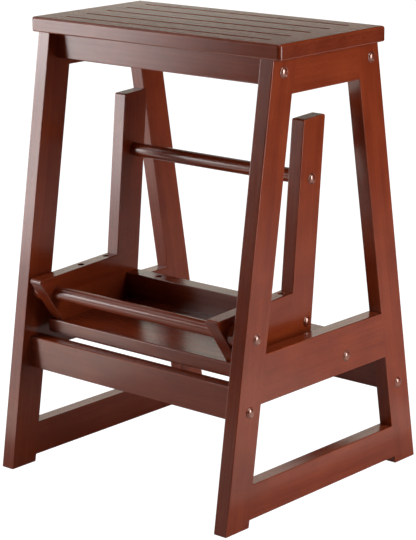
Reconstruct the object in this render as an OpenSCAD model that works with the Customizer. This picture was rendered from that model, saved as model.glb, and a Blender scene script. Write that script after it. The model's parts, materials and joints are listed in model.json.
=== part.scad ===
// Two-step folding step stool in stained wood, millimetres.
//
// Two splayed side frames carry the upper step. The lower step is a small frame
// of its own that turns about a pivot through the front legs: it is stowed upside
// down between the side frames, or swung forward to stand on the floor in front.
// Here it is stowed. Origin on the floor under the middle, +Z up, front to -Y.

/* [Upper step] */
// Height of the upper step above the floor
stool_height = 610; // [600:1:620]
// Width of the upper step
step_board_width = 432; // [424:1:450]
// Depth of the upper step
step_board_depth = 214; // [212:1:230]
// Thickness of both step boards
board_thickness = 20; // [18:0.5:22]
// Radius of the step boards' corners, seen from above
board_corner = 5; // [2:0.5:8]

/* [Side frames] */
// Width over the outer faces of the two side frames
frame_width = 408; // [400:1:416]
// Thickness of the side frames
side_thickness = 21; // [20:0.5:22]
// Width of a leg, measured level
leg_width = 44; // [42:0.5:46]
// Depth over the feet, front to rear
foot_depth = 400; // [390:1:410]
// Depth over the tops of the legs
shoulder_depth = 209.4; // [206:0.2:214]
// Height of the bottom rails above the floor
bottom_rail_base = 10; // [8:0.5:14]
// Height of the bottom and top rails' section
outer_rail_height = 46; // [42:0.5:48]
// Height of the middle rails above the floor
middle_rail_base = 158.5; // [156:0.5:160]
// Height of the middle rails' section
middle_rail_height = 64; // [60:0.5:66]

/* [Cross members] */
// Thickness of the aprons and lower rails
cross_thickness = 20; // [18:0.5:20]
// Height of the aprons under the upper step
apron_height = 35; // [28:0.5:35]
// Distance from the leg's front edge back to the front apron
apron_setback = 14.7; // [14:0.1:16]
// Distance from the leg's rear edge forward to the rear apron
rear_apron_setback = 6.7; // [5:0.1:9]
// Height of the lower rails' section
lower_rail_height = 44; // [40:0.5:44]
// Height of the front lower rail above the floor
front_rail_base = 138; // [132:0.5:138]
// Height of the rear lower rail above the floor
rear_rail_base = 106; // [104:0.5:108]
// Height of the section of the rail that the stowed step lies on
rest_rail_height = 25; // [24:0.5:28]

/* [Lower step] */
// Height of the lower step when it stands on the floor
step_height = 305; // [300:0.5:306]
// Height of the pivot above the floor
pivot_height = 245; // [244:0.5:246]
// Gap between the lower step and each side frame
side_gap = 16; // [14:0.5:18]
// Thickness of the lower step's sides
arm_thickness = 20.5; // [19:0.5:21]
// Height of the arms' section
arm_height = 64; // [60:0.5:64]
// Width of the lower step's board
tread_width = 344; // [336:1:350]
// Depth of the lower step's board
tread_depth = 183; // [178:0.5:184]
// Lean of the lower step's legs, degrees
step_leg_lean = 8.7; // [8:0.1:9]
// Tilt of the stowed step, degrees
stow_tilt = 2.9; // [2.7:0.1:3.4]
// Diameter of the two round bars
bar_diameter = 19; // [16:0.5:21]

/* [Grooves] */
// Width of the anti-slip grooves
groove_width = 5; // [3:0.5:6]
// Depth of the anti-slip grooves
groove_depth = 6; // [3:0.5:7]
// Spacing of the grooves, centre to centre
groove_pitch = 39; // [37:0.5:40]
// Distance from a groove's end to the side of the step board
groove_margin = 38; // [34:1:44]

/* [Hardware] */
// Diameter of the domed cover caps
cap_diameter = 15; // [14:0.5:16]
// Diameter of the frame screws
screw_diameter = 5; // [4:0.5:6]
// Length of the frame screws under the head
screw_length = 50; // [40:1:55]
// Diameter of the dowel pins in the side frames
pin_diameter = 8; // [6:0.5:8]
// Diameter of the pivot bolts
pivot_diameter = 8; // [7:0.5:8]

/* [Hidden] */
$fn = 64;

wood = "#6a2c1f";
wood_dark = "#4f2018";
steel = "silver";
nylon = "ivory";

fit = 0.05;             // play all round a pin in its hole
running = 0.3;          // gap between faces that slide past each other
cut = 1;                // how far a cutting shape runs past a face

// Heights and edges of the side frames
leg_top = stool_height - board_thickness;
side_inner = frame_width / 2 - side_thickness;
side_middle = frame_width / 2 - side_thickness / 2;
function leg_edge(z) = foot_depth / 2 - (foot_depth - shoulder_depth) / 2 * z / leg_top;
function leg_inner_edge(z) = leg_edge(z) - leg_width;

// Faces of the cross members, front to rear
apron_face = leg_edge(leg_top) - apron_setback;
rear_apron_face = leg_edge(leg_top) - rear_apron_setback;
front_rail_face = leg_edge(front_rail_base + lower_rail_height) - 12.6;
rear_rail_face = 147;
rest_rail_face = 34;

// The lower step in its own frame: u runs from the pivot to the step's nose and
// v from the pivot towards its feet. Both are measured with the step stowed.
pivot_y = -(leg_edge(pivot_height) - leg_width / 2);
step_half = side_inner - side_gap;
arm_inner = step_half - arm_thickness;
arm_middle = step_half - arm_thickness / 2;
tread_face = -(step_height - pivot_height);
arm_low = tread_face + board_thickness;
arm_high = arm_low + arm_height;
arm_tip = -33.8;
arm_heel = 4.9;
arm_tip_radius = 4;
foot_radius = 3;
step_foot = pivot_height;
function step_leg_edge(v) = 158.5 + v * tan(step_leg_lean);
function step_leg_front(v) = step_leg_edge(v) - leg_width;
function stowed_z(u, v) = pivot_height + u * sin(stow_tilt) + v * cos(stow_tilt);
rest_rail_top = stowed_z(168, tread_face) - 0.25;
cross_rail_near = 133.5;
cross_rail_depth = 22;
cross_rail_height = 34.4;
cross_screw = [144.5, arm_low + 17.5];
brace_bar = [163.5, 165.5];

// Screws through the side frames: [y, z] of each, the same on both sides
apron_screw_z = 573;
frame_screw_places = [
    [-(apron_face - 5), apron_screw_z],
    [rear_apron_face - 6, apron_screw_z - 2.5],
    [-(front_rail_face - 6), front_rail_base + 15],
    [rear_rail_face + 12, rear_rail_base + 10.4],
    [rest_rail_face + 10, rest_rail_top - rest_rail_height / 2]
];

// Sections of the hardware
head_diameter = 11;
head_height = 3;
counterbore_diameter = 12.2;
counterbore_depth = 6;
cap_stem_diameter = 12;
cap_stem = 2.4;
cap_rim = 0.9;
cap_dome = 2.5;
pin_reach = 15;
bush_diameter = 11;
spacer_diameter = 30;
pivot_thread_diameter = 6;
pivot_thread = 30;
wood_screw_diameter = 4;
wood_screw_head = 8;
wood_screw_bore = 9;
seat_screw_bore_depth = 10;
seat_screw_tip = leg_top + 11;
tread_screw_seat = arm_low + 28;
tread_screw_tip = arm_low - 12;
tread_screw_places = [56, 106];
cross_rail_screw_x = 95;
cross_rail_screw_seat = arm_low + 22;
seat_screw_x = [-140, 0, 140];
seat_screw_y = [-(apron_face - cross_thickness / 2), rear_apron_face - cross_thickness / 2];

// ---------------------------------------------------------------- shapes

// Distance from a corner to where a rounding of radius r meets its edges.
function unit(a, b) = (b - a) / norm(b - a);
function half_angle(p, a, b) = acos(unit(p, a) * unit(p, b)) / 2;
function tangent(p, to, a, b, r) = p + unit(p, to) * r / tan(half_angle(p, a, b));
function arc_centre(p, a, b, r) =
    p + unit([0, 0], unit(p, a) + unit(p, b)) * r / sin(half_angle(p, a, b));

// A convex outline whose corners are rounded, each by its own radius.
module rounded_outline(points, radii) {
    n = len(points);
    polygon([
        for (i = [0 : n - 1])
            let (p = points[i], a = points[(i + n - 1) % n], b = points[(i + 1) % n])
                each radii[i] > 0
                    ? [tangent(p, a, a, b, radii[i]), tangent(p, b, a, b, radii[i])]
                    : [p]
    ]);
    for (i = [0 : n - 1])
        if (radii[i] > 0)
            translate(arc_centre(points[i], points[(i + n - 1) % n],
                                 points[(i + 1) % n], radii[i]))
                circle(r = radii[i]);
}

// Extrudes an outline drawn in Y and Z from x = from towards +X.
module side_board(from, thickness) {
    translate([from, 0, 0]) rotate([90, 0, 90]) linear_extrude(thickness) children();
}

// A cylinder along X, from x = from to x = to.
module bar_x(from, to, y, z, diameter) {
    translate([from, y, z]) rotate([0, 90, 0]) cylinder(d = diameter, h = to - from);
}

// A cylinder along Y, from y = from to y = to.
module bar_y(x, from, to, z, diameter) {
    translate([x, from, z]) rotate([-90, 0, 0]) cylinder(d = diameter, h = to - from);
}

// A rectangular board between the side frames.
module cross_board(y, z, depth, height) {
    translate([-side_inner, y, z]) cube([2 * side_inner, depth, height]);
}

// Does the same thing on the right and on the left.
module both_sides() {
    children();
    mirror([1, 0, 0]) children();
}

// Picks the right side (1) or the left side (-1) for a shape made on the right.
module on_side(side) {
    if (side > 0) children();
    else mirror([1, 0, 0]) children();
}

// Turns a shape from the lower step's own frame to its stowed place.
module stowed() {
    translate([0, pivot_y, pivot_height]) rotate([stow_tilt, 0, 0]) children();
}

// A step board centred on X, from y = 0, with grooves in its top.
module grooved_board(width, depth, grooves) {
    middle = depth / 2;
    groove_length = width - 2 * groove_margin;
    difference() {
        translate([0, middle, 0]) linear_extrude(board_thickness)
            rounded_outline(
                [[-width / 2, -middle], [width / 2, -middle],
                 [width / 2, middle], [-width / 2, middle]],
                [board_corner, board_corner, board_corner, board_corner]);
        for (i = [0 : grooves - 1])
            translate([0, middle + (i - (grooves - 1) / 2) * groove_pitch,
                       board_thickness - groove_depth])
                groove(groove_length);
    }
}

// One groove with round ends, cut from z = 0 upwards.
module groove(length) {
    end = length / 2 - groove_width / 2;
    translate([-end, -groove_width / 2, 0]) cube([2 * end, groove_width, groove_depth + cut]);
    for (x = [-end, end])
        translate([x, 0, 0]) cylinder(d = groove_width, h = groove_depth + cut);
}

// -------------------------------------------------------------- hardware

// A screw along -Z: its head's top is at z = 0, with a hexagon socket.
module screw(diameter, length, head) {
    point = diameter;
    difference() {
        translate([0, 0, -head_height]) cylinder(d = head, h = head_height);
        translate([0, 0, -head_height / 2]) cylinder(d = head * 0.45, h = head_height, $fn = 6);
    }
    translate([0, 0, -head_height - length + point]) cylinder(d = diameter, h = length - point);
    translate([0, 0, -head_height - length])
        cylinder(d1 = diameter * 0.3, d2 = diameter, h = point);
}

// A domed cap on a short stem, standing on z = 0 and pointing to +Z.
module cap() {
    ball = (pow(cap_diameter / 2 - 1, 2) + pow(cap_dome, 2)) / (2 * cap_dome);
    translate([0, 0, -cap_stem]) cylinder(d = cap_stem_diameter, h = cap_stem);
    cylinder(d = cap_diameter, h = cap_rim);
    translate([0, 0, cap_rim])
        intersection() {
            cylinder(d = cap_diameter - 2, h = cap_dome);
            translate([0, 0, cap_dome - ball]) sphere(r = ball);
        }
}

// Puts a screw or a cap on a side face at x, pointing outwards.
module out_of_side(x, y, z) {
    translate([x, y, z]) rotate([0, 90, 0]) children();
}

// The hole for one screw and its cap, cut into a side board from its outer face.
module screw_hole(outer, thickness, y, z) {
    bar_x(outer - counterbore_depth, outer + cut, y, z, counterbore_diameter);
    bar_x(outer - thickness - cut, outer, y, z, screw_diameter + 2 * fit);
}

// The hole in the end of a cross member for the same screw.
module end_hole(outer, y, z) {
    bar_x(outer - counterbore_depth - screw_length - cut, outer, y, z,
          screw_diameter + 2 * fit);
}

// ----------------------------------------------------------- side frames

// Heights of the two dowel pins in the end of a rail.
function pin_heights(base, height) = [base + height / 4, base + height * 3 / 4];
side_rails = [
    [bottom_rail_base, outer_rail_height],
    [middle_rail_base, middle_rail_height],
    [leg_top - outer_rail_height, outer_rail_height]
];

// All dowel pins of the right side frame, grown all round by play.
module side_pins(play) {
    for (rail = side_rails)
        for (z = pin_heights(rail[0], rail[1]))
            for (end = [-1, 1])
                bar_y(side_middle,
                      end * leg_inner_edge(z) - pin_reach - play,
                      end * leg_inner_edge(z) + pin_reach + play,
                      z, pin_diameter + 2 * play);
}

module frame_screw_holes() {
    for (place = frame_screw_places)
        screw_hole(frame_width / 2, side_thickness, place[0], place[1]);
}

// The outline of a front leg, in Y and Z.
module leg_outline() {
    polygon([
        [-leg_edge(0), 0],
        [-leg_inner_edge(0), 0],
        [-leg_inner_edge(leg_top), leg_top],
        [-leg_edge(leg_top), leg_top]
    ]);
}

module front_leg(side) {
    color(wood) on_side(side) difference() {
        side_board(side_inner, side_thickness) leg_outline();
        side_pins(fit);
        frame_screw_holes();
        bar_x(frame_width / 2 - counterbore_depth, frame_width / 2 + cut,
              pivot_y, pivot_height, counterbore_diameter);
        bar_x(side_inner - cut, frame_width / 2, pivot_y, pivot_height,
              bush_diameter + 2 * fit);
    }
}

module rear_leg(side) {
    color(wood) on_side(side) difference() {
        side_board(side_inner, side_thickness) mirror([1, 0]) leg_outline();
        side_pins(fit);
        frame_screw_holes();
    }
}

module side_rail(side, base, height) {
    low = leg_inner_edge(base);
    high = leg_inner_edge(base + height);
    color(wood) on_side(side) difference() {
        side_board(side_inner, side_thickness)
            polygon([[-low, base], [low, base], [high, base + height], [-high, base + height]]);
        side_pins(fit);
        frame_screw_holes();
    }
}

module left_front_leg() { front_leg(-1); }
module right_front_leg() { front_leg(1); }
module left_rear_leg() { rear_leg(-1); }
module right_rear_leg() { rear_leg(1); }
module left_top_rail() { side_rail(-1, side_rails[2][0], side_rails[2][1]); }
module right_top_rail() { side_rail(1, side_rails[2][0], side_rails[2][1]); }
module left_middle_rail() { side_rail(-1, side_rails[1][0], side_rails[1][1]); }
module right_middle_rail() { side_rail(1, side_rails[1][0], side_rails[1][1]); }
module left_bottom_rail() { side_rail(-1, side_rails[0][0], side_rails[0][1]); }
module right_bottom_rail() { side_rail(1, side_rails[0][0], side_rails[0][1]); }
module left_dowel_pins() { color(wood_dark) on_side(-1) side_pins(0); }
module right_dowel_pins() { color(wood_dark) on_side(1) side_pins(0); }

// --------------------------------------------------------- cross members

module frame_end_holes() {
    both_sides()
        for (place = frame_screw_places)
            end_hole(frame_width / 2, place[0], place[1]);
}

// One screw up through the apron into the seat board, or its hole.
module seat_screw_hole(x, y) {
    apron_base = leg_top - apron_height;
    translate([x, y, apron_base - cut])
        cylinder(d = wood_screw_bore, h = seat_screw_bore_depth + cut);
    translate([x, y, apron_base])
        cylinder(d = wood_screw_diameter + 2 * fit, h = seat_screw_tip + fit - apron_base);
}

module seat_screw_holes() {
    for (x = seat_screw_x)
        for (y = seat_screw_y)
            seat_screw_hole(x, y);
}

// An apron whose front face is at y.
module apron(y) {
    color(wood) difference() {
        cross_board(y, leg_top - apron_height, cross_thickness, apron_height);
        frame_end_holes();
        seat_screw_holes();
    }
}

module front_apron() { apron(-apron_face); }
module rear_apron() { apron(rear_apron_face - cross_thickness); }

module front_lower_rail() {
    color(wood) difference() {
        cross_board(-front_rail_face, front_rail_base, cross_thickness, lower_rail_height);
        frame_end_holes();
    }
}

module rear_lower_rail() {
    color(wood) difference() {
        cross_board(rear_rail_face, rear_rail_base, cross_thickness, lower_rail_height);
        frame_end_holes();
    }
}

module rest_rail() {
    color(wood) difference() {
        cross_board(rest_rail_face, rest_rail_top - rest_rail_height,
                    cross_thickness, rest_rail_height);
        frame_end_holes();
    }
}

module seat_board() {
    color(wood) difference() {
        translate([0, -step_board_depth / 2, leg_top])
            grooved_board(step_board_width, step_board_depth, 5);
        seat_screw_holes();
    }
}

module frame_screws() {
    color(steel) both_sides()
        for (place = frame_screw_places)
            out_of_side(frame_width / 2 - counterbore_depth + head_height, place[0], place[1])
                screw(screw_diameter, screw_length, head_diameter);
}

module frame_caps() {
    color(wood_dark) both_sides()
        for (place = frame_screw_places)
            out_of_side(frame_width / 2, place[0], place[1]) cap();
}

module seat_screws() {
    seat = leg_top - apron_height + seat_screw_bore_depth;
    color(steel)
        for (x = seat_screw_x)
            for (y = seat_screw_y)
                translate([x, y, seat - head_height])
                    rotate([180, 0, 0])
                        screw(wood_screw_diameter, seat_screw_tip - seat, wood_screw_head);
}

// ----------------------------------------------------------------- pivot

module pivot_bushes() {
    color(nylon) both_sides() difference() {
        bar_x(side_inner, frame_width / 2 - counterbore_depth, pivot_y, pivot_height,
              bush_diameter);
        bar_x(side_inner - cut, frame_width / 2, pivot_y, pivot_height,
              pivot_diameter + 2 * fit);
    }
}

module pivot_spacers() {
    color(wood) both_sides() difference() {
        bar_x(step_half + running, side_inner, pivot_y, pivot_height, spacer_diameter);
        bar_x(step_half, side_inner + cut, pivot_y, pivot_height,
              pivot_diameter + 2 * running);
    }
}

module pivot_caps() {
    color(wood_dark) both_sides()
        out_of_side(frame_width / 2, pivot_y, pivot_height) cap();
}

// Shoulder bolts: they turn in the bushes and are screwed into the pivot bar.
module pivot_bolts() {
    shoulder_end = frame_width / 2 - counterbore_depth + running / 2;
    color(steel) both_sides() {
        bar_x(arm_inner, shoulder_end, pivot_y, pivot_height, pivot_diameter);
        bar_x(arm_inner - pivot_thread, arm_inner, pivot_y, pivot_height,
              pivot_thread_diameter);
        difference() {
            bar_x(shoulder_end, shoulder_end + head_height, pivot_y, pivot_height,
                  head_diameter);
            translate([shoulder_end + head_height / 2, pivot_y, pivot_height])
                rotate([0, 90, 0]) cylinder(d = head_diameter * 0.45, h = head_height, $fn = 6);
        }
    }
}

// ------------------------------------------------------------ lower step

// Screws through the lower step's sides: [u, v] of each.
step_screw_places = [cross_screw, brace_bar];

module step_side_holes() {
    for (place = step_screw_places)
        screw_hole(step_half, arm_thickness, place[0], place[1]);
}

module step_end_holes() {
    both_sides()
        for (place = step_screw_places)
            end_hole(step_half, place[0], place[1]);
}

// Screws into the tread: through the arms' upper edges and through the cross rail.
module tread_screw_holes() {
    both_sides() {
        for (u = tread_screw_places)
            tread_screw_hole(arm_middle, u, tread_screw_seat, arm_high);
        tread_screw_hole(cross_rail_screw_x, cross_screw[0], cross_rail_screw_seat,
                         arm_low + cross_rail_height);
    }
}

module tread_screw_hole(x, u, seat, top) {
    translate([x, u, seat]) cylinder(d = wood_screw_bore, h = top - seat + cut);
    translate([x, u, tread_screw_tip - fit])
        cylinder(d = wood_screw_diameter + 2 * fit, h = seat - tread_screw_tip + 2 * fit);
}

// The arm and the leg meet in a half lap: the arm has its inner half.
module step_arm(side) {
    color(wood) on_side(side) stowed() difference() {
        union() {
            side_board(arm_middle, arm_thickness / 2) arm_outline(0);
            side_board(arm_inner, arm_thickness / 2) arm_outline(leg_width);
        }
        tread_screw_holes();
        step_side_holes();
        bar_x(arm_inner - cut, step_half + cut, 0, 0, pivot_diameter + 2 * fit);
    }
}

// The arm's outline, in u and v, with its end moved on by lap.
module arm_outline(lap) {
    rounded_outline(
        [[arm_tip, arm_high], [arm_heel, arm_low],
         [step_leg_front(arm_low) + lap, arm_low],
         [step_leg_front(arm_high) + lap, arm_high]],
        [arm_tip_radius, 0, 0, 0]);
}

module step_leg(side) {
    color(wood) on_side(side) stowed() difference() {
        side_board(arm_inner, arm_thickness)
            rounded_outline(
                [[step_leg_front(arm_low), arm_low], [step_leg_edge(arm_low), arm_low],
                 [step_leg_edge(step_foot), step_foot],
                 [step_leg_front(step_foot), step_foot]],
                [0, 0, foot_radius, foot_radius]);
        side_board(arm_inner - cut, arm_thickness / 2 + cut)
            polygon([[0, arm_low - cut], [tread_depth, arm_low - cut],
                     [tread_depth, arm_high], [0, arm_high]]);
        step_side_holes();
    }
}

module step_left_arm() { step_arm(-1); }
module step_right_arm() { step_arm(1); }
module step_left_leg() { step_leg(-1); }
module step_right_leg() { step_leg(1); }

module step_tread() {
    color(wood) stowed() difference() {
        translate([0, 0, arm_low]) mirror([0, 0, 1])
            grooved_board(tread_width, tread_depth, 4);
        tread_screw_holes();
    }
}

module step_cross_rail() {
    color(wood) stowed() difference() {
        translate([-arm_inner, cross_rail_near, arm_low])
            cube([2 * arm_inner, cross_rail_depth, cross_rail_height]);
        step_end_holes();
        tread_screw_holes();
    }
}

module step_pivot_bar() {
    color(wood) stowed() difference() {
        bar_x(-arm_inner, arm_inner, 0, 0, bar_diameter);
        both_sides()
            bar_x(arm_inner - pivot_thread - cut, arm_inner + cut, 0, 0,
                  pivot_thread_diameter + 2 * fit);
    }
}

module step_brace_bar() {
    color(wood) stowed() difference() {
        bar_x(-arm_inner, arm_inner, brace_bar[0], brace_bar[1], bar_diameter);
        step_end_holes();
    }
}

module step_screws() {
    color(steel) stowed() both_sides()
        for (place = step_screw_places)
            out_of_side(step_half - counterbore_depth + head_height, place[0], place[1])
                screw(screw_diameter, screw_length, head_diameter);
}

module step_caps() {
    color(wood_dark) stowed() both_sides()
        for (place = step_screw_places)
            out_of_side(step_half, place[0], place[1]) cap();
}

module tread_screws() {
    color(steel) stowed() both_sides() {
        for (u = tread_screw_places)
            translate([arm_middle, u, tread_screw_seat + head_height])
                screw(wood_screw_diameter, tread_screw_seat - tread_screw_tip,
                      wood_screw_head);
        translate([cross_rail_screw_x, cross_screw[0], cross_rail_screw_seat + head_height])
            screw(wood_screw_diameter, cross_rail_screw_seat - tread_screw_tip,
                  wood_screw_head);
    }
}

// ------------------------------------------------------------------ build

seat_board();
left_front_leg();
right_front_leg();
left_rear_leg();
right_rear_leg();
left_top_rail();
right_top_rail();
left_middle_rail();
right_middle_rail();
left_bottom_rail();
right_bottom_rail();
front_apron();
rear_apron();
front_lower_rail();
rear_lower_rail();
rest_rail();
frame_screws();
frame_caps();
seat_screws();
left_dowel_pins();
right_dowel_pins();
pivot_bushes();
pivot_spacers();
pivot_caps();
step_tread();
step_left_arm();
step_right_arm();
step_left_leg();
step_right_leg();
step_cross_rail();
step_pivot_bar();
step_brace_bar();
pivot_bolts();
step_screws();
step_caps();
tread_screws();
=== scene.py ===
"""Looks of a folding step stool: stained boards with eased edges, turned caps and bars,
zinc plated screws, soft studio light and the photograph's angle of view."""

import json
import math

import bmesh
import bpy
from mathutils import Matrix, Vector
from mathutils.bvhtree import BVHTree


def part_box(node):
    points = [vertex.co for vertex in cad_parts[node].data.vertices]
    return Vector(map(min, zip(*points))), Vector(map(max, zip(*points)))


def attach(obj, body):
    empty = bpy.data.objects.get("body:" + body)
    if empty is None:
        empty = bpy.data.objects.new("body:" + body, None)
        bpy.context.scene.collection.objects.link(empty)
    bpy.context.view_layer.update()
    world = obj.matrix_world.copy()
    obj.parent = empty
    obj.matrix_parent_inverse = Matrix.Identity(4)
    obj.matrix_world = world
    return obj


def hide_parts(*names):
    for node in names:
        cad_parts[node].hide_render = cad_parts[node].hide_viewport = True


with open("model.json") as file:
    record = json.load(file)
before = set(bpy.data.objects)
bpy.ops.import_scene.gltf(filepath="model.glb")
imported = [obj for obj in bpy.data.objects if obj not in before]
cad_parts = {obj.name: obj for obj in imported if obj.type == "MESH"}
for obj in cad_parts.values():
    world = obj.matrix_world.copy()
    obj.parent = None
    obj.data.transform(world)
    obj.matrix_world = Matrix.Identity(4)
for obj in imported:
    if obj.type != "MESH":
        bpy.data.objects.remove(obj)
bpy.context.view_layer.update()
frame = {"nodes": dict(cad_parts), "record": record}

NODES = frame["nodes"]
RECORD = frame["record"]
SLOT = {part["node"]: part["material_slot"] for part in RECORD["subparts"]}
BODY = {node: body for body, members in RECORD["behaviour"]["bodies"].items()
        for node in members}

# ---------------------------------------------------------------- what the pieces are

MM = 0.001
WELD = 0.002 * MM               # points of the CAD mesh this near are one point
ONE_FACE = math.radians(0.5)    # triangles of the CAD mesh within this are one flat face
SHARP = math.radians(30)        # edges that turn more than this are arrises
HOLLOW = math.radians(1)        # a wall that bends inwards by more than this is hollow
TOUCHING = 0.3 * MM             # an arris this near another board is a glued joint

# How far each board's arrises are eased; the step boards are rounder on their walking face
ARRIS = 1.4 * MM
NOSE = 3.6 * MM
WALKING_FACE = {"seat_board": 1, "step_tread": -1}
BACK_ARRIS = 2.2 * MM
RIM = 0.5 * MM                  # easing of groove and bore rims
BAR_ARRIS = 0.8 * MM            # easing of the ends of the round bars and spacers
ARRIS_STEPS = 3                 # faces across an arris, a nose and a bar's end
NOSE_STEPS = 4
BAR_STEPS = 2
CAP_HEIGHT = 3.4 * MM           # a cap's dome above the face it covers
CAP_STEM = 6.0 * MM             # radius of a cap's stem
CAP_RIM_HEIGHT = 1.1 * MM       # the bead round a cap's dome
CAP_RIM_WIDTH = 1.4 * MM
CAP_CREASE = 0.25 * MM          # how far the dome starts below the top of the bead
LATHE_STEPS = 48
SPLIT_FROM = 15 * MM            # shorter arrises are never part free and part glued
SAME_PLANE = math.cos(math.radians(0.3))    # normals nearer than this are of one plane
FLAT_FROM = 100 * MM ** 2       # larger four-sided faces are flat, not part of a round wall
ROUND, EASED, FLAT = 0, 1, 2    # kinds of faces

BARS = ["step_pivot_bar", "step_brace_bar", "pivot_spacers"]
CAPS = ["frame_caps", "pivot_caps", "step_caps"]
HARDWARE = ["frame_screws", "seat_screws", "left_dowel_pins", "right_dowel_pins",
            "pivot_bushes", "pivot_bolts", "step_screws", "tread_screws"]
BOARDS = [node for node in NODES if node not in BARS + CAPS + HARDWARE]
BAR_SEED = 31                   # the boards' stains are seeded from 1, these from here on
CAP_SEED = 41


# ---------------------------------------------------------------- materials

def node_maker(material):
    """Empties a material or world and gives add(kind, settings, inputs) for it.

    An input is named by its label, with _ for a space, or as _ and its number. It is
    given a value or another node's output.
    """
    material.use_nodes = True
    tree = material.node_tree
    tree.nodes.clear()

    def add(kind, settings=None, **inputs):
        node = tree.nodes.new("ShaderNode" + kind)
        for key, value in (settings or {}).items():
            setattr(node, key, value)
        for key, value in inputs.items():
            socket = node.inputs[int(key[1:]) if key[1:].isdigit() else key.replace("_", " ")]
            if isinstance(value, bpy.types.NodeSocket):
                tree.links.new(value, socket)
            else:
                socket.default_value = value
        return node

    return add


def ramp(add, factor, stops):
    """A colour ramp through (place, colour) stops."""
    node = add("ValToRGB", Fac=factor)
    elements = node.color_ramp.elements
    while len(elements) < len(stops):
        elements.new(0.5)
    for element, (place, colour) in zip(elements, stops):
        element.position = place
        element.color = (*colour, 1)
    return node.outputs["Color"]


def grey(level):
    return (level,) * 3


def maths(add, operation, a, b=0.0, c=0.0):
    return add("Math", {"operation": operation}, _0=a, _1=b, _2=c).outputs[0]


def weighted(add, *parts):
    """The sum of parts, each given as (value, weight)."""
    total = 0.0
    for value, weight in parts:
        total = maths(add, "ADD", total, maths(add, "MULTIPLY", value, weight))
    return total


def multiplied(add, colour, by, amount=1.0):
    """A colour times another one, mixed in as far as amount says."""
    return add("Mix", {"data_type": "RGBA", "blend_type": "MULTIPLY"},
               _0=amount, _6=colour, _7=by).outputs[2]


STAIN_DARK = (0.184, 0.0245, 0.006)
STAIN_MID = (0.215, 0.031, 0.008)
STAIN_LIGHT = (0.245, 0.039, 0.011)
# Lighter stain for eased arrises: partly wear, partly a painted highlight along the edges
STAIN_WORN_AND_SHEEN = (0.262, 0.050, 0.018)
CAP_SHADE = (0.85, 0.85, 0.95, 1)
CAP_GLINT = {"IOR": 2.7, "Specular_Tint": (1.0, 0.74, 0.64, 1)}    # caps shine more
END_SHADE = (0.75, 0.75, 0.9, 1)
RING_RATE = 900.0               # radians of ring pattern per metre from the pith
RING_BEND = 16.0                # radians by which the broad noise bends the rings


def stained_wood(name, grain, seed, worn_and_sheen=False, cap=False):
    """Red-brown stain under semi-gloss varnish. grain is the direction of the fibres.

    The flag for eased arrises gives them a lighter stain, partly wear and partly a painted
    highlight along the edges; cap is the shinier finish of screw caps.
    """
    material = bpy.data.materials.new(name)
    add = node_maker(material)
    coords = add("TexCoord")
    turn = grain.to_track_quat("X", "Z").to_euler()

    # Each piece is cut from another place: the pith is moved along the grain by its seed,
    # and from 6 to 13 cm each way across it
    pith = Vector((0.731 * seed, 0.06 + 0.013 * (seed % 5), 0.09 + 0.017 * (seed % 3)))
    along = add("Mapping", {"vector_type": "TEXTURE"}, Vector=coords.outputs["Object"],
                Rotation=turn, Location=pith)

    def stretched(*scale):
        return add("VectorMath", {"operation": "MULTIPLY"}, _0=along.outputs[0],
                   _1=scale).outputs[0]

    def noise(scale, detail=2.0, rough=0.5):
        return add("TexNoise", Vector=stretched(*scale), Scale=1.0, Detail=detail,
                   Roughness=rough).outputs["Fac"]

    # Noise drawn out along the grain: the scales are (along, across, across), per metre
    broad = noise((4, 60, 60), 3)
    streaks = noise((9, 260, 260), 4, 0.6)
    fibres = noise((40, 1500, 1500), 3, 0.6)
    pores = noise((150, 2300, 2300), 1)
    patches = add("TexNoise", Vector=coords.outputs["Object"], Scale=16.0, Detail=2.0,
                  Roughness=0.5).outputs["Fac"]

    # Growth rings: distance from the pith, bent by the broad noise
    across = add("VectorMath", {"operation": "LENGTH"}, _0=stretched(0, 1, 1)).outputs["Value"]
    phase = weighted(add, (across, RING_RATE), (broad, RING_BEND))
    rings = maths(add, "MULTIPLY_ADD", maths(add, "SINE", phase), 0.5, 0.5)

    mix = weighted(add, (streaks, 0.45), (broad, 0.3), (fibres, 0.15), (rings, 0.1))
    stops = [(0.34, STAIN_DARK), (0.50, STAIN_MID), (0.68, STAIN_LIGHT)]
    # Eased arrises get a lighter stain: partly wear, partly a painted highlight along the
    # edges
    if worn_and_sheen:
        stops = [(0.34, STAIN_MID), (0.50, STAIN_LIGHT), (0.68, STAIN_WORN_AND_SHEEN)]
    colour = ramp(add, mix, stops)

    # Pores as short dark dashes, and a stain that took unevenly
    dashes = ramp(add, pores, [(0.28, grey(0.55)), (0.36, grey(1.0))])
    colour = multiplied(add, colour, dashes)
    uneven = ramp(add, patches, [(0.3, (0.88, 0.84, 0.80)), (0.7, (1.12, 1.18, 1.2))])
    colour = multiplied(add, colour, uneven)
    if cap:
        colour = multiplied(add, colour, CAP_SHADE)

    # End grain drinks more stain and is darker
    facing = add("VectorMath", {"operation": "DOT_PRODUCT"}, _0=coords.outputs["Normal"],
                 _1=grain).outputs["Value"]
    end = ramp(add, maths(add, "ABSOLUTE", facing), [(0.75, grey(0)), (0.95, grey(1))])
    colour = multiplied(add, colour, END_SHADE, end)

    # Varnish that sinks a little into the fibres and pores
    gloss = ramp(add, streaks, [(0.3, grey(0.24)), (0.7, grey(0.18))])
    relief = weighted(add, (fibres, 1.4), (dashes, 1.0), (streaks, 0.5))
    bump = add("Bump", Height=relief, Strength=0.3, Distance=0.1 * MM).outputs[0]
    shader = add("BsdfPrincipled", Base_Color=colour, Roughness=gloss, Normal=bump,
                 Coat_Weight=0.15, Coat_Roughness=0.17, **(CAP_GLINT if cap else {}))
    add("OutputMaterial", Surface=shader.outputs[0])
    return material


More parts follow.
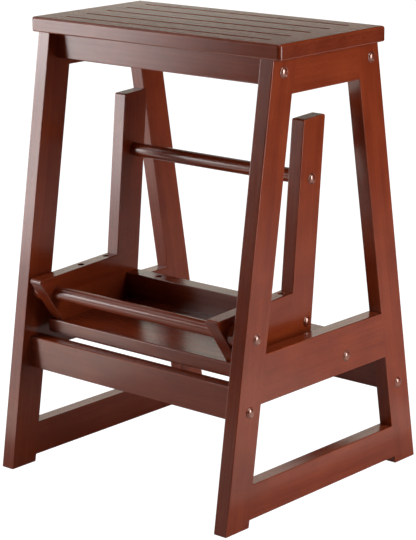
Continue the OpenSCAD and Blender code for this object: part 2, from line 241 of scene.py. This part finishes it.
def speckled(name, scale, detail, colours, rough, relief, metallic=0.0, spread=0.2):
    """A finish that varies in fine specks, between two colours and two roughnesses.

    relief is the strength and the height of its bumps; spread is how far from the middle
    of the noise the two colours and roughnesses lie.
    """
    material = bpy.data.materials.new(name)
    add = node_maker(material)
    coords = add("TexCoord").outputs["Object"]
    specks = add("TexNoise", Vector=coords, Scale=scale, Detail=detail).outputs["Fac"]
    low, high = 0.5 - spread, 0.5 + spread
    colour = ramp(add, specks, [(low, colours[0]), (high, colours[1])])
    if rough[0] != rough[1]:
        roughness = ramp(add, specks, [(low, grey(rough[0])), (high, grey(rough[1]))])
    else:
        roughness = rough[0]
    strength, height = relief
    bump = add("Bump", Height=specks, Strength=strength, Distance=height).outputs[0]
    shader = add("BsdfPrincipled", Base_Color=colour, Metallic=metallic, Roughness=roughness,
                 Normal=bump)
    add("OutputMaterial", Surface=shader.outputs[0])
    return material


def zinc(name):
    """Zinc plated steel: bright metal with a fine, slightly cloudy plating."""
    return speckled(name, 900.0, 3.0, [(0.50, 0.50, 0.52), (0.70, 0.69, 0.66)],
                    (0.42, 0.28), (0.2, 0.03 * MM), metallic=1.0)


def bare_beech(name):
    """Unstained dowel wood with fine flecks."""
    return speckled(name, 1400.0, 4.0, [(0.50, 0.33, 0.19), (0.70, 0.52, 0.33)],
                    (0.6, 0.6), (0.3, 0.05 * MM), spread=0.15)


def dark_nylon(name):
    """Moulded nylon with a fine matt skin."""
    return speckled(name, 2500.0, 2.0, [(0.040, 0.036, 0.033), (0.060, 0.054, 0.049)],
                    (0.55, 0.42), (0.25, 0.03 * MM))


# ---------------------------------------------------------------- pieces

def cad_mesh(node):
    """A CAD node's mesh with its triangles merged back into flat faces."""
    bm = bmesh.new()
    bm.from_mesh(NODES[node].data)
    bmesh.ops.remove_doubles(bm, verts=bm.verts, dist=WELD)
    bmesh.ops.dissolve_limit(bm, angle_limit=ONE_FACE, verts=bm.verts, edges=bm.edges)
    return bm


def is_arris(edge):
    return len(edge.link_faces) == 2 and edge.calc_face_angle() > SHARP


def longest_arris(bm):
    """Direction of the longest arris, which is the way the fibres run."""
    edge = max((e for e in bm.edges if is_arris(e)), key=lambda e: e.calc_length())
    return (edge.verts[1].co - edge.verts[0].co).normalized()


def split_at_joints(bm, corners):
    """Splits each arris where another board's corner lies on it."""
    for edge in [e for e in bm.edges if e.calc_length() > SPLIT_FROM and is_arris(e)]:
        start, end = (v.co.copy() for v in edge.verts)
        line = end - start
        length = line.length
        places = set()
        for corner in corners:
            t = (corner - start).dot(line) / length ** 2
            clear = TOUCHING / length
            if clear < t < 1 - clear and (start + line * t - corner).length < TOUCHING:
                places.add(round(t, 5))
        done = 0.0
        vert = edge.verts[0]
        for t in sorted(places):
            edge, vert = bmesh.utils.edge_split(edge, vert, (t - done) / (1 - done))
            edge = next(e for e in vert.link_edges if (e.other_vert(vert).co - end).length
                        < (vert.co - end).length)
            done = t


def in_hole(edge):
    """Whether an arris is the rim of a bore or a groove: the wall below it is hollow."""
    for face in edge.link_faces:
        for other in face.edges:
            if other is not edge and len(other.link_faces) == 2:
                if other.calc_face_angle() > HOLLOW and not other.is_convex:
                    return True
    return False


def new_piece(name, bm, node):
    """Links a finished mesh as the piece that stands for a CAD node."""
    mesh = bpy.data.meshes.new(name)
    bm.to_mesh(mesh)
    bm.free()
    mesh.shade_smooth()
    piece = bpy.data.objects.new(name, mesh)
    bpy.context.scene.collection.objects.link(piece)
    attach(piece, BODY[node])
    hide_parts(node)
    return piece


def flat_regions(bm):
    """Groups of faces that lie in one plane, side by side, and aren't easing."""
    grouped = set()
    for first in bm.faces:
        if first in grouped or first.material_index:
            continue
        region = [first]
        grouped.add(first)
        for face in region:
            for other in (o for e in face.edges for o in e.link_faces):
                if other in grouped or other.material_index:
                    continue
                if other.normal.dot(first.normal) > SAME_PLANE:
                    region.append(other)
                    grouped.add(other)
        yield region


def refill(bm):
    """Fills the flat faces afresh: one with holes doesn't come through the bevel whole.

    It also notes what kind each face is, for keep_flat().
    """
    kind = bm.faces.layers.int.new("kind")
    for face in bm.faces:
        face[kind] = EASED if face.material_index else ROUND
    for region in list(flat_regions(bm)):
        if all(len(face.verts) <= 4 for face in region):
            if sum(face.calc_area() for face in region) > FLAT_FROM:
                for face in region:
                    face[kind] = FLAT
            continue
        normal = region[0].normal.copy()
        inside = set(region)
        rim = [e for face in region for e in face.edges
               if sum(other in inside for other in e.link_faces) == 1]
        bmesh.ops.delete(bm, geom=region, context="FACES")
        made = bmesh.ops.triangle_fill(bm, use_beauty=True, edges=rim, normal=normal)["geom"]
        for face in [new for new in made if isinstance(new, bmesh.types.BMFace)]:
            face[kind] = FLAT
            face.normal_update()
            if face.normal.dot(normal) < 0:
                face.normal_flip()


def ease(bm, width, segments):
    """Gives the mesh with its weighted arrises bevelled; the easing gets material 1."""
    mesh = bpy.data.meshes.new("sharp")
    bm.to_mesh(mesh)
    bm.free()
    sharp = bpy.data.objects.new("sharp", mesh)
    bpy.context.scene.collection.objects.link(sharp)
    for _ in ("wood", "easing"):
        mesh.materials.append(None)
    bevel = sharp.modifiers.new("eased_arrises", "BEVEL")
    bevel.limit_method = "WEIGHT"
    bevel.width = width
    bevel.segments = segments
    bevel.use_clamp_overlap = False
    bevel.material = 1
    eased = sharp.evaluated_get(bpy.context.evaluated_depsgraph_get())
    bm = bmesh.new()
    bm.from_mesh(eased.to_mesh())
    eased.to_mesh_clear()
    bpy.data.objects.remove(sharp)
    bpy.data.meshes.remove(mesh)
    refill(bm)
    return bm


def shading_normal(face, around, kinds):
    """The normal of a face's corner, given the faces around that corner."""
    kind = kinds[face.index]
    flats = [other for other in around if kinds[other.index] == FLAT]
    if kind == FLAT:
        return face.normal
    if kind == EASED and flats:
        return max(flats, key=lambda other: other.normal.dot(face.normal)).normal
    alike = [other for other in around if kinds[other.index] == kind
             and other.normal.dot(face.normal) > math.cos(SHARP)]
    total = sum((other.normal * other.area for other in alike), Vector())
    return total.normalized()


def keep_flat(piece):
    """Makes flat faces shade flat right up to their easing."""
    mesh = piece.data
    kinds = [value.value for value in mesh.attributes["kind"].data]
    around = [[] for _ in mesh.vertices]
    for face in mesh.polygons:
        for vert in face.vertices:
            around[vert].append(face)
    mesh.normals_split_custom_set([shading_normal(face, around[vert], kinds)
                                   for face in mesh.polygons for vert in face.vertices])


def wooden_piece(node, bm, width, steps, grain, seed):
    """The piece with its weighted arrises eased and stained, with a lighter stain there:
    partly wear, partly a painted highlight.
    """
    piece = new_piece(node + "_wood", ease(bm, width, steps), node)
    piece.data.materials.append(stained_wood(node + "_stain", grain, seed))
    piece.data.materials.append(stained_wood(node + "_edge", grain, seed, worn_and_sheen=True))
    keep_flat(piece)


def board(node, seed, neighbours, corners):
    """A board with eased arrises, sharp where it is glued flush to its neighbours."""
    bm = cad_mesh(node)
    grain = longest_arris(bm)
    split_at_joints(bm, corners)
    width = NOSE if node in WALKING_FACE else ARRIS
    lowest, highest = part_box(node)
    middle = (lowest.z + highest.z) / 2
    weights = bm.edges.layers.float.new("bevel_weight_edge")
    for edge in bm.edges:
        if not is_arris(edge):
            continue
        centre = (edge.verts[0].co + edge.verts[1].co) / 2
        touching = any(tree.find_nearest(centre, TOUCHING)[0] for tree in neighbours)
        if touching or not edge.is_convex:
            edge.smooth = False
        elif in_hole(edge):
            edge[weights] = RIM / width
        elif node in WALKING_FACE:
            walking = (centre.z - middle) * WALKING_FACE[node] > 0
            edge[weights] = 1.0 if walking else BACK_ARRIS / width
        else:
            edge[weights] = 1.0
    wooden_piece(node, bm, width, NOSE_STEPS if node in WALKING_FACE else ARRIS_STEPS,
                 grain, seed)


def build_boards():
    trees = {}
    corners = {}
    for node in BOARDS:
        bm = cad_mesh(node)
        trees[node] = BVHTree.FromBMesh(bm)
        corners[node] = [v.co.copy() for v in bm.verts]
        bm.free()
    for seed, node in enumerate(BOARDS):
        others = [other for other in BOARDS if other != node and BODY[other] == BODY[node]]
        board(node, seed + 1, [trees[other] for other in others],
              [corner for other in others for corner in corners[other]])


def turned(node, seed):
    """A round bar or spacer with eased ends."""
    bm = cad_mesh(node)
    weights = bm.edges.layers.float.new("bevel_weight_edge")
    for edge in bm.edges:
        if is_arris(edge):
            edge[weights] = 1.0
    wooden_piece(node, bm, BAR_ARRIS, BAR_STEPS, Vector((1, 0, 0)), seed)


def islands(bm):
    """The boxes of a mesh's separate solids."""
    found = set()
    for first in bm.verts:
        if first in found:
            continue
        group = [first]
        found.add(first)
        for vert in group:
            for other in (e.other_vert(vert) for e in vert.link_edges):
                if other not in found:
                    group.append(other)
                    found.add(other)
        places = [v.co for v in group]
        yield (Vector(min(p[i] for p in places) for i in range(3)),
               Vector(max(p[i] for p in places) for i in range(3)))


def lathe(bm, profile, place, side):
    """Turns a profile of (radius, height) about X at place; side is +1 or -1."""
    rings = []
    for radius, height in profile:
        if radius == 0:
            rings.append([bm.verts.new(place + Vector((side * height, 0, 0)))])
            continue
        ring = []
        for i in range(LATHE_STEPS):
            angle = 2 * math.pi * i / LATHE_STEPS
            ring.append(bm.verts.new(place + Vector((
                side * height, radius * math.cos(angle), radius * math.sin(angle)))))
        rings.append(ring)
    for a, b in zip(rings, rings[1:]):
        for i in range(LATHE_STEPS):
            j = (i + 1) % LATHE_STEPS
            corners = [a[i % len(a)], a[j % len(a)], b[j % len(b)], b[i % len(b)]]
            unique = list(dict.fromkeys(corners))
            bm.faces.new(unique if side > 0 else unique[::-1])


def cap_profile(radius, stem):
    """A button cap: a dome that rises inside a rounded rim, and a stem below the face."""
    dome_radius = radius - CAP_RIM_WIDTH
    foot = CAP_RIM_HEIGHT - CAP_CREASE
    rise = CAP_HEIGHT - foot
    bead = CAP_RIM_WIDTH / 2
    dome = [(dome_radius * math.sin(math.radians(t)), foot + rise * math.cos(math.radians(t)))
            for t in range(0, 91, 9)]
    rim = [(radius - bead - bead * math.cos(math.radians(t)),
            CAP_RIM_HEIGHT - bead + bead * math.sin(math.radians(t)))
           for t in range(30, 181, 25)]
    return dome + rim + [(radius, 0.0), (CAP_STEM, 0.0), (CAP_STEM, -stem), (0, -stem)]


def caps(node, seed):
    """Domed caps over the screws, turned along X, in the places of the CAD ones."""
    cad = bmesh.new()
    cad.from_mesh(NODES[node].data)
    bmesh.ops.remove_doubles(cad, verts=cad.verts, dist=WELD)
    bm = bmesh.new()
    for lowest, highest in islands(cad):
        middle = (lowest + highest) / 2
        side = math.copysign(1, middle.x)
        outer = highest.x if side > 0 else lowest.x
        radius = (highest.z - lowest.z) / 2
        depth = highest.x - lowest.x
        face = Vector((outer - side * CAP_HEIGHT, middle.y, middle.z))
        lathe(bm, cap_profile(radius, depth - CAP_HEIGHT), face, side)
    cad.free()
    bmesh.ops.recalc_face_normals(bm, faces=bm.faces)
    piece = new_piece(node + "_turned", bm, node)
    grain = Vector((0, 0, 1))
    piece.data.materials.append(stained_wood(node + "_stain", grain, seed, cap=True))


build_boards()
for number, node in enumerate(BARS):
    turned(node, BAR_SEED + number)
for number, node in enumerate(CAPS):
    caps(node, CAP_SEED + number)
FINISH = {"zinc_steel": zinc("zinc"), "plain_wood": bare_beech("beech"),
          "nylon": dark_nylon("nylon")}
for node in HARDWARE:
    NODES[node].data.materials.clear()
    NODES[node].data.materials.append(FINISH[SLOT[node]])


# ---------------------------------------------------------------- stage, light, camera

MIDDLE = Vector((0, 0, 0.3))    # what the far lights face
WARM = (1.0, 0.90, 0.80)
CREAM = (1.0, 0.95, 0.82)
FRONT_FACING = Vector((1, 0.88, 0))    # the way the softboxes at the front left face
GLOW_HEIGHT = 0.012             # lit patches of floor lie just above it
GLOW_SIZE = (0.5, 0.5)
FLOOR_REACH = 30                # metres from the middle
FLOOR_LIT = 1.2                 # what the camera sees of the floor is brighter than white


def area_light(name, place, target, size, power, colour=(1, 1, 1)):
    """A lamp of size (width, height) metres and power watts that no camera sees."""
    light = bpy.data.lights.new(name, "AREA")
    light.shape = "RECTANGLE"
    light.size, light.size_y = size
    light.energy = power
    light.color = colour
    lamp = bpy.data.objects.new(name, light)
    lamp.location = place
    lamp.rotation_euler = (Vector(target) - Vector(place)).to_track_quat("-Z", "Y").to_euler()
    lamp.visible_camera = False
    bpy.context.scene.collection.objects.link(lamp)


def from_middle(azimuth, elevation, distance):
    """A point seen from the middle of the stool; azimuth 0 is to the right, 90 behind."""
    across = distance * math.cos(math.radians(elevation))
    return MIDDLE + Vector((across * math.cos(math.radians(azimuth)),
                            across * math.sin(math.radians(azimuth)),
                            distance * math.sin(math.radians(elevation))))


def lights():
    """A tall softbox on the right, one overhead, panels at the left, and lit floor."""
    area_light("tall_softbox", from_middle(13, 15, 1.75), MIDDLE, (0.62, 1.4), 22.5)
    area_light("overhead", from_middle(0, 85, 2.3), MIDDLE, (0.9, 0.9), 9.5)
    for name, place, size, power in (
            ("left_softbox", (-1.31, -1.015, 0.60), (0.75, 0.66), 6.8),
            ("upper_softbox", (-1.32, -1.00, 0.80), (0.75, 0.40), 5.0),
            ("near_softbox", (-1.00, -0.75, 0.27), (0.45, 0.50), 1.7)):
        area_light(name, place, Vector(place) + FRONT_FACING, size, power)
    area_light("side_softbox", (-1.5, -0.1, 0.4), (0, -0.1, 0.4), (0.8, 0.6), 5.0)
    area_light("back_panel", (-0.70, 0.93, 0.56), (-0.21, 0.06, 0.56), (0.95, 0.42), 1.3,
               CREAM)
    area_light("left_lamp", from_middle(204, 43, 1.8), MIDDLE, (0.6, 0.6), 2.0)
    for name, x, y, power in (("floor_glow_left", -0.6, -0.65, 1.4),
                              ("floor_glow_right", 0.5, 0.1, 0.3)):
        area_light(name, (x, y, GLOW_HEIGHT), (x, y, 1), GLOW_SIZE, power, WARM)


def floor():
    """White to the camera; to the stool, paper that sends back a little of the light."""
    mesh = bpy.data.meshes.new("floor")
    bm = bmesh.new()
    bmesh.ops.create_grid(bm, x_segments=1, y_segments=1, size=FLOOR_REACH)
    bm.to_mesh(mesh)
    bm.free()
    material = bpy.data.materials.new("white_floor")
    add = node_maker(material)
    seen = add("LightPath").outputs["Is Camera Ray"]
    paper = add("BsdfDiffuse", Color=(*grey(0.6), 1)).outputs[0]
    chalk = add("BsdfDiffuse", Color=(*grey(0.8), 1)).outputs[0]
    lit = add("Emission", Color=(*grey(1), 1), Strength=FLOOR_LIT).outputs[0]
    pale = add("MixShader", Fac=0.9, _1=chalk, _2=lit).outputs[0]
    shown = add("MixShader", Fac=seen, _1=paper, _2=pale).outputs[0]
    add("OutputMaterial", Surface=shown)
    mesh.materials.append(material)
    obj = bpy.data.objects.new("floor", mesh)
    bpy.context.scene.collection.objects.link(obj)


def studio():
    """White to the camera; reflections see a dark room with a pale patch high at the back."""
    world = bpy.data.worlds.new("studio")
    bpy.context.scene.world = world
    add = node_maker(world)
    seen = add("LightPath").outputs["Is Camera Ray"]
    direction = add("TexCoord").outputs["Generated"]
    towards = from_middle(142, 38, 1.0) - MIDDLE
    near = add("VectorMath", {"operation": "DOT_PRODUCT"}, _0=direction,
               _1=towards).outputs["Value"]
    glow = ramp(add, near, [(0.93, (0, 0, 0)), (0.99, (0.62, 0.62, 0.60))])
    room = add("Background", Color=glow, Strength=1.0).outputs[0]
    white = add("Background", Color=(1, 1, 1, 1), Strength=1.0).outputs[0]
    shown = add("MixShader", Fac=seen, _1=room, _2=white).outputs[0]
    add("OutputWorld", Surface=shown)


def camera():
    """The photograph's camera, fitted to the edges of the stool."""
    data = bpy.data.cameras.new("camera")
    data.lens = 136.54
    data.sensor_width = 36
    obj = bpy.data.objects.new("camera", data)
    bpy.context.scene.collection.objects.link(obj)
    place = (1.7759, -2.0021, 0.9745)
    heading = 0.725125
    down = 0.256436
    roll = -0.011067
    obj.matrix_world = (Matrix.Translation(place)
                        @ Matrix.Rotation(heading, 4, "Z")
                        @ Matrix.Rotation(math.pi / 2 - down, 4, "X")
                        @ Matrix.Rotation(roll, 4, "Z"))
    bpy.context.scene.camera = obj


lights()
floor()
studio()
camera()
bpy.context.scene.view_settings.view_transform = "Standard"
